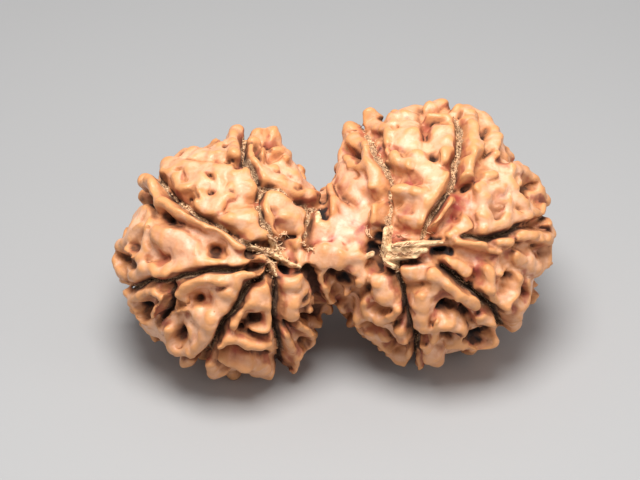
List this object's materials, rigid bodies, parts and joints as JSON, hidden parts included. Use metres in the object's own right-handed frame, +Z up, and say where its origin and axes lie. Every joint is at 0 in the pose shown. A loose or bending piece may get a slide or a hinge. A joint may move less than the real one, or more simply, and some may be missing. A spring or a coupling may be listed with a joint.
{
  "type": "gauri shankar rudraksha",
  "caption": "Naturally twinned rudraksha bead: round, gnarled shells joined at a smooth waist, with knobbly ridges, pits and grooves running out from each stem hole.",
  "frame": {"origin": "middle of the part's box, on the ground the beads lie on", "axes": "+X from the smaller bead through the waist to the larger bead, +Z up; the face that shows both stem holes looks towards -Y and up, 40 degrees above level"},
  "size_m": [0.0374, 0.0222, 0.0207],
  "materials": {
    "shell": "dry woody shell, orange tan with redder grooves, dull polish on the ridges"
  },
  "bodies": {
    "root": {"rudraksha": "shell"}
  },
  "joints": []
}
